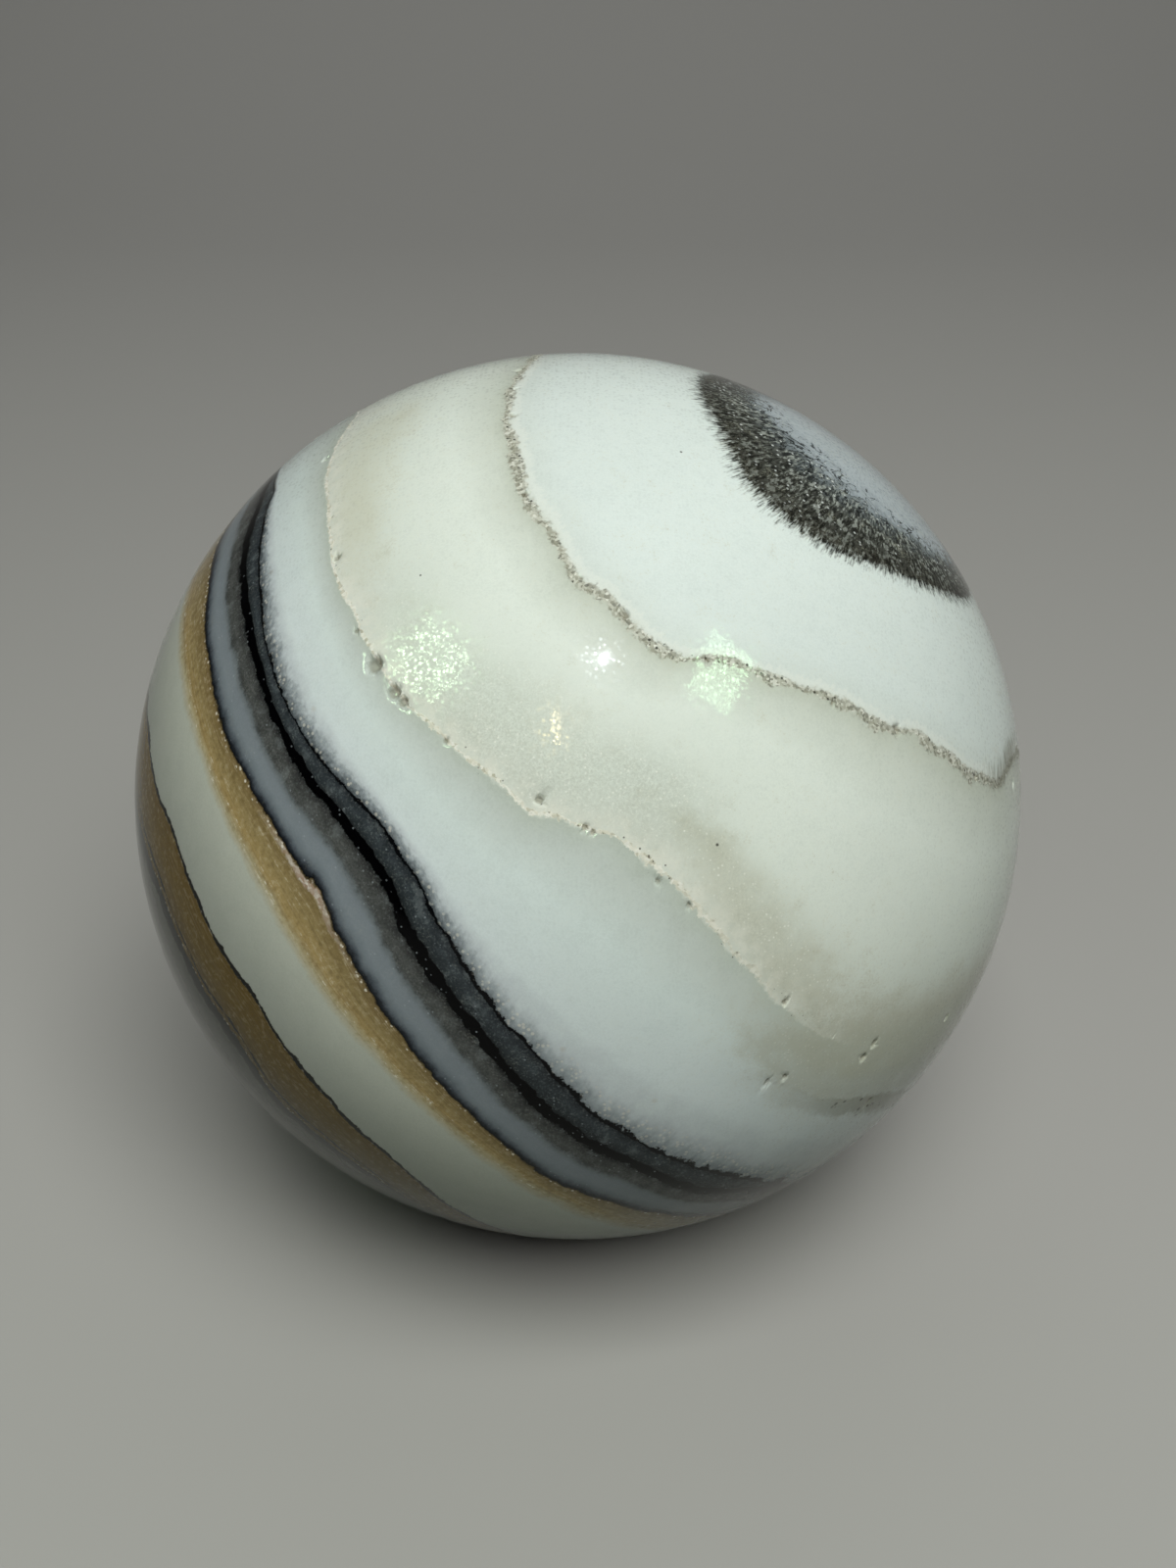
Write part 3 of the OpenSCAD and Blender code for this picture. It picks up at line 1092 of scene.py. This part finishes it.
    def lower_seam(self, s: StoneSheet, body: Socket) -> tuple[Socket, Socket]:
        """The seam across the middle: a pale crust that ends in a crisp scalloped rim.

        Returns:
            The body colour, and 1 where the seam is rough.
        """
        seam = Level.LOWER_SEAM
        fade = s.haze(Haze.FADE)
        whole = s.maths("SUBTRACT", 1.0, fade)
        line = s.sway(s.sway(s.growth, s.wander, 0.5), s.ragged, 0.9)
        scallop = s.noise(s.spot, 0.8, 3, 0.6)
        crust = s.between(line, (seam - 2.2, seam - 0.4), (seam + 0.08, seam - 0.05))
        body = s.tint(body, "e6e6da", crust, s.step(scallop, 0.36, 0.62), whole, 0.55)
        half = s.linear(s.step(scallop, 0.35, 0.65), 0.11, 0.03)
        unfaded = s.most(s.linear(fade, -3.0, 1.0), 0.0)
        rim = s.times(s.stripe(line, seam - 0.12, half, 0.09), unfaded)
        cells = s.cells(s.spot, 3.6)
        body = s.mix(s.times(rim, 0.7), body, s.ramp(cells[1], self.palette.lower_crystals, 1.0))
        dots = s.grains(cells, (0.30, 0.16), (0.10, 0.06))
        body = s.tint(body, "2c2820", dots, s.stripe(line, seam - 0.2, 0.3, 0.2), whole, 0.8)
        short = s.times(s.stripe(line, Level.SHORT_SEAM, 0.28, 0.4), s.haze(Haze.SPECKLE))
        body = s.tint(body, "746f55", short, 0.6)
        chips = s.times(s.grains(s.cells(s.spot, 1.5), (0.34, 0.2), (0.6, 0.5)), short)
        body = s.tint(body, "35322a", chips, 0.85)
        return body, s.most(s.times(rim, 0.7), s.times(chips, 0.6))

    def streaks(self, s: StoneSheet, body: Socket) -> Socket:
        """Fibres in the tan and the brown band, drawn out along the layers, with white dashes."""
        fibre, fine = s.rays(6.0, 3.2), s.rays(16.0, 7.5)
        tan = s.between(s.edge, (Level.NAVY_LINE, Level.NAVY_LINE + 0.2),
                        (Level.TAN_EDGE + 1.5, Level.TAN_EDGE - 0.3))
        brown = s.between(s.edge, (Level.THIN_LINE, Level.THIN_LINE + 0.5),
                          (Level.CAP_LINE - 0.1, Level.CAP_LINE - 0.5))
        body = s.tints(body, s.most(tan, brown), (
            (fibre, 0.52, 0.36, 0.30, "6c5836"), (fine, 0.53, 0.64, 0.18, "d5c39a"),
            (s.ragged, 0.50, 0.34, 0.30, "6b5a3b"), (s.ragged, 0.52, 0.66, 0.22, "d2c5a4")))
        dash = s.times(s.step(fine, 0.585, 0.63), s.step(s.ragged, 0.52, 0.58))
        near = s.plus(s.stripe(s.edge, Level.TAN_EDGE + 0.3, 0.35, 0.3), s.times(tan, 0.25))
        return s.tint(body, "ece7d6", dash, near, 0.85)

    def black_lines(self, s: StoneSheet, body: Socket) -> Socket:
        """The mottling of the slate band, and the crisp black lines, which swell and narrow."""
        slate = s.between(s.edge, (Level.SLATE_EDGE + 0.1, Level.SLATE_EDGE + 0.4),
                          (Level.JET_LINE + 2.7, Level.JET_LINE + 2.3))
        cloud = s.noise(s.spot, 0.8, 4, 0.65)
        body = s.tints(body, slate, (
            (s.grain, 0.52, 0.70, 0.20, "8b9292"), (s.grain, 0.46, 0.32, 0.25, "1c1e1f"),
            (cloud, 0.52, 0.36, 0.35, "1f2224"), (cloud, 0.54, 0.70, 0.25, "8a9293")))
        swell = s.step(s.noise(s.spot, 0.7, 2), 0.3, 0.7)
        fine = s.sway(s.edge, s.grain, 0.3)
        for line in BLACK_LINES:
            half = s.linear(swell, line.swell, line.half)
            body = s.tint(body, line.code, s.stripe(fine, line.level, half, 0.10))
        return body

    def crystals(self, s: StoneSheet, body: Socket) -> tuple[Socket, Socket]:
        """Small open crystals beside the lines, gleams in the slate, one chip and a few brown spots.

        Returns:
            The body colour, and 1 where the stone is open.
        """
        cells = s.cells(s.spot, 3.0)
        beside = s.most(*(
            s.times(s.stripe(s.edge, row.level, row.half, row.soft), row.strength)
            for row in CRYSTAL_ROWS))
        open_at = s.times(beside, s.grains(cells, (0.46, 0.28), (0.45, 0.60)))
        body = s.tint(body, "e4dfd0", open_at)
        bands = s.between(s.edge, (Level.SLATE_EDGE + 0.2, Level.SLATE_EDGE + 0.6),
                          (Level.NAVY_LINE - 0.3, Level.NAVY_LINE - 0.9))
        body = s.tint(body, "aab3b8", s.grains(cells, (0.3, 0.14), (0.88, 0.94)), bands, 0.4)
        chip = s.times(s.haze(Haze.CHIP), s.stripe(s.edge, Level.NAVY_LINE + 0.25, 0.12, 0.16))
        body = s.mix(s.times(chip, 0.8), body, s.mix(cells[1], colour("b59a88"), colour("efebe3")))
        spots = s.grains(s.cells(s.spot, 0.75), (0.26, 0.06), (0.34, 0.26))
        body = s.tint(body, "a8946f", spots, s.stripe(s.edge, Level.SLATE_EDGE - 1.3, 0.4, 0.5), 0.2)
        return body, s.most(open_at, chip)

    def pores(self, s: StoneSheet, body: Socket) -> Socket:
        """Single dark grains, each where one shows: within its radius of a point of the surface."""
        for i, point in enumerate(self.view.sight(self.specks)):
            away = s.put("VectorMath", {"operation": "DISTANCE"}, Vector=s.spot)
            away.inputs[1].default_value = tuple(point)
            radius = self.speck_radius + self.speck_spread * math.sin(2.4 * i)
            grain = s.step(away.outputs["Value"], radius, 0.5 * radius)
            body = s.tint(body, "27231c", grain, 0.85)
        return body


# --------------------------------------------------------------- the studio


class Role(Enum):
    """What a lamp is for: to light the ball, or to show in its polish."""

    LIGHT = "light"
    SHOW = "show"


class Shape(Enum):
    """The outline of an area lamp."""

    RECTANGLE = "RECTANGLE"
    ELLIPSE = "ELLIPSE"

    def area(self, width: float, height: float) -> float:
        """The area inside the outline."""
        return width * height * (1 if self is Shape.RECTANGLE else math.pi / 4)


@dataclass(frozen=True)
class Lamp:
    """An area lamp that faces the ball.

    Its direction is given in the view's own frame: degrees to the right of the
    camera and degrees above it, as seen from the ball.
    """

    name: str
    right: float
    above: float
    distance: float
    width: float
    height: float
    radiance: float
    role: Role
    shape: Shape = Shape.RECTANGLE
    roll: float = 0.0
    tint: str = "ffffff"

    def build(self, view: View) -> bpy.types.Object:
        """Hangs the lamp.

        Args:
            view: The view that its direction is given in.

        Returns:
            The lamp's object.
        """
        right, up, towards = view.directions()
        turn, rise = math.radians(self.right), math.radians(self.above)
        level = math.cos(turn) * towards + math.sin(turn) * right
        out = math.cos(rise) * level + math.sin(rise) * up
        data = bpy.data.lights.new(self.name, "AREA")
        data.shape = self.shape.value
        data.size = self.width * METRE
        data.size_y = self.height * METRE
        area = self.shape.area(data.size, data.size_y)
        data.energy = self.radiance * math.pi * area
        data.color = colour(self.tint)[:3]
        lamp = bpy.data.objects.new(self.name, data)
        back = unit(out)
        side = unit(np.cross([0, 0, 1.0], back))
        top = np.cross(back, side)
        spin = math.radians(self.roll)
        x = math.cos(spin) * side + math.sin(spin) * top
        y = np.cross(back, x)
        place = self.distance * METRE * back
        rows = [[x[i], y[i], back[i], place[i]] for i in range(3)]
        lamp.matrix_world = Matrix([*rows, [0, 0, 0, 1]])
        lamp.visible_glossy = self.role is not Role.LIGHT
        lamp.visible_diffuse = self.role is not Role.SHOW
        bpy.context.scene.collection.objects.link(lamp)
        return lamp


@dataclass(frozen=True)
class Studio:
    """A pale floor that curves up into a backdrop, soft light and the lamps that show in the polish."""

    lamps: tuple[Lamp, ...] = (
        Lamp("left_lamp", -38.5, 29.5, 500, 146, 116, 36.0, Role.SHOW, roll=-4, tint="d2ffc8"),
        Lamp("right_lamp", 36, 27, 500, 96, 146, 20.0, Role.SHOW, roll=-64, tint="c8ffc8"),
        Lamp("slit", -5.1, 15.4, 500, 16, 60, 110.0, Role.SHOW, roll=12, tint="ffe9a8"),
        Lamp("bulb", 6, 31.3, 500, 13, 13, 1000.0, Role.SHOW, Shape.ELLIPSE, tint="f2f7ff"),
        Lamp("key", 8, 27.5, 700, 430, 430, 9.0, Role.LIGHT, tint="fcfff9"),
        Lamp("back_light", 180, 65, 900, 800, 800, 0.6, Role.LIGHT),
    )
    floor_half: float = 4000.0
    wall_y: float = 900.0
    bend: float = 500.0
    height: float = 4000.0
    world_light: float = 0.014
    floor_code: str = "aba9a7"
    wall_code: str = "979796"
    bounce: float = 0.015

    def floor(self) -> bpy.types.Object:
        """Makes the floor and backdrop.

        Its section runs along the floor, round a quarter circle and up, and is
        carried straight across.

        Returns:
            The floor's object.
        """
        ground = -BALL_RADIUS
        turn = np.radians(np.linspace(0, 90, 25))
        run = self.wall_y - self.bend + self.bend * np.sin(turn)
        rise = self.bend * (1 - np.cos(turn))
        y = np.concatenate([[-self.floor_half], run, [self.wall_y]])
        z = np.concatenate([[0], rise, [self.height]]) + ground
        x = np.array([-self.floor_half, self.floor_half])
        points = np.stack([np.repeat(x, len(y)), np.tile(y, 2), np.tile(z, 2)], 1) * METRE
        i = np.arange(len(y) - 1)
        faces = np.stack([i, i + len(y), i + 1 + len(y), i + 1], 1)
        mesh = bpy.data.meshes.new("floor")
        mesh.from_pydata(points.tolist(), [], faces.tolist())
        mesh.polygons.foreach_set("use_smooth", np.ones(len(faces), bool))
        mesh.update()
        floor = bpy.data.objects.new("floor", mesh)
        bpy.context.scene.collection.objects.link(floor)
        mesh.materials.append(self.floor_finish())
        return floor

    def floor_finish(self) -> bpy.types.Material:
        """A pale floor under a greyer wall, which throws back little light but looks its full colour."""
        material = bpy.data.materials.new("pale_floor")
        material.use_nodes = True
        s = Sheet(material.node_tree)
        shader = material.node_tree.nodes["Principled BSDF"]
        shader.inputs["Roughness"].default_value = 0.6
        place = s.put("SeparateXYZ", None, Vector=s.put("TexCoord").outputs["Object"])
        rise = s.step(place.outputs["Z"], 0.0, self.bend * METRE)
        paint = s.mix(rise, colour(self.floor_code), colour(self.wall_code))
        path = s.put("LightPath")
        kinds = ("Is Camera Ray", "Is Glossy Ray", "Is Transmission Ray")
        seen = s.most(*(path.outputs[kind] for kind in kinds))
        dim = s.mix(1 - self.bounce, paint, (0, 0, 0, 1))
        s.join(s.mix(seen, dim, paint), shader.inputs["Base Color"])
        return material

    def world(self) -> None:
        """Fills the room with even light."""
        world = bpy.data.worlds.new("room")
        bpy.context.scene.world = world
        world.use_nodes = True
        sky = world.node_tree.nodes["Background"]
        sky.inputs["Color"].default_value = colour("f4f7f6")
        sky.inputs["Strength"].default_value = self.world_light

    def build(self, view: View) -> None:
        """Makes the whole studio."""
        self.floor()
        self.world()
        for lamp in self.lamps:
            lamp.build(view)
            LOG.info("lamp %s", lamp.name)
        bpy.context.scene.view_settings.view_transform = "Standard"


# ------------------------------------------------------------------ the ball


@dataclass(frozen=True)
class CalciteBall:
    """The ball itself, which stands for the solid of the same form."""

    view: View
    axis: GrowthAxis = GrowthAxis()
    pits: Pits = Pits()

    def build(self) -> bpy.types.Object:
        """Makes and dresses the ball, and sets it in the frame.

        Returns:
            The ball's object.
        """
        ball = GrowthGrid(self.view, self.axis, self.pits).build()
        ball.data.materials.append(StoneFinish(self.view).material())
        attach(ball, "root")
        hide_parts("ball")
        return ball


def main() -> None:
    """Builds the camera, the ball and the studio in that order."""
    logging.basicConfig(level=logging.INFO, format="%(name)s: %(message)s")
    view = View()
    view.build()
    ball = CalciteBall(view).build()
    faces = len(ball.data.polygons)
    LOG.info("ball with %d faces, %d triangles", faces, 2 * faces)
    Studio().build(view)


if __name__ == "__main__":
    main()
